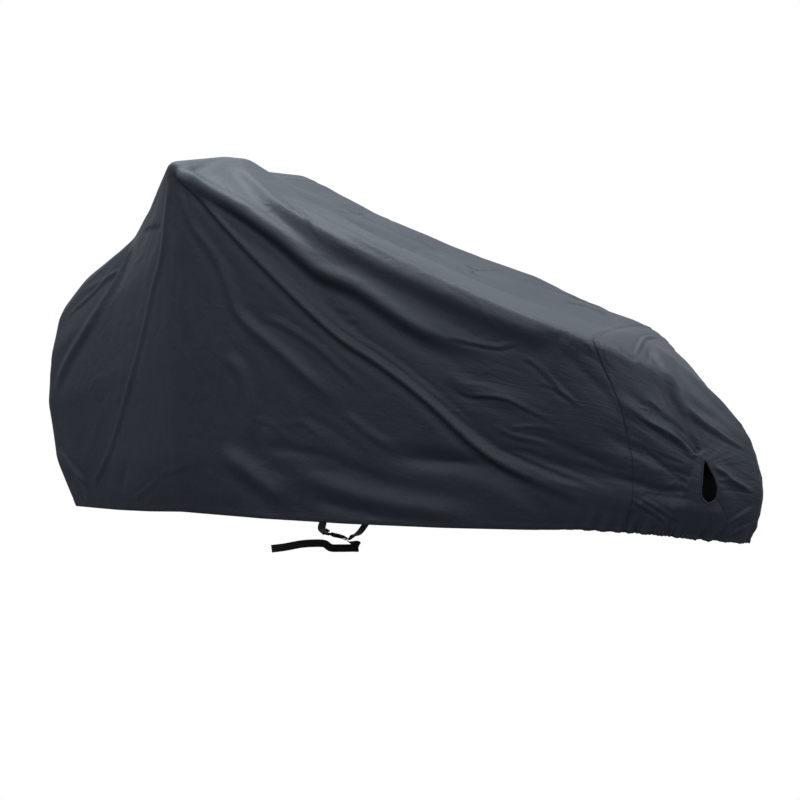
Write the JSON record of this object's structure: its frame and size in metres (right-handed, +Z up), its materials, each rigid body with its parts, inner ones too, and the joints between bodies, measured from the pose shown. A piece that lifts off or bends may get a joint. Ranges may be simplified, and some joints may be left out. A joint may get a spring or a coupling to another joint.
{
  "type": "bicycle cover",
  "caption": "Fitted cloth cover draped over a long two-wheeled cargo bicycle, with a gathered front hem, lock openings and a buckled belly strap.",
  "frame": {"origin": "under the cloth where the middle of the handlebar carries the cover", "axes": "+X to the bicycle's front, +Y to its left side, +Z up"},
  "size_m": [2.5753, 0.6944, 1.3018],
  "materials": {
    "cover_cloth": "coated nylon, soft satin sheen",
    "edge_cloth": "sewn rolled edge",
    "webbing": "woven nylon webbing",
    "buckle_plastic": "moulded, slightly satin"
  },
  "bodies": {
    "root": {"cover_body": "cover_cloth", "front_panel": "cover_cloth", "lock_edge_near": "edge_cloth", "lock_edge_far": "edge_cloth", "strap_near": "webbing", "strap_far": "webbing", "buckle_plug": "buckle_plastic", "buckle_socket": "buckle_plastic"}
  },
  "joints": []
}
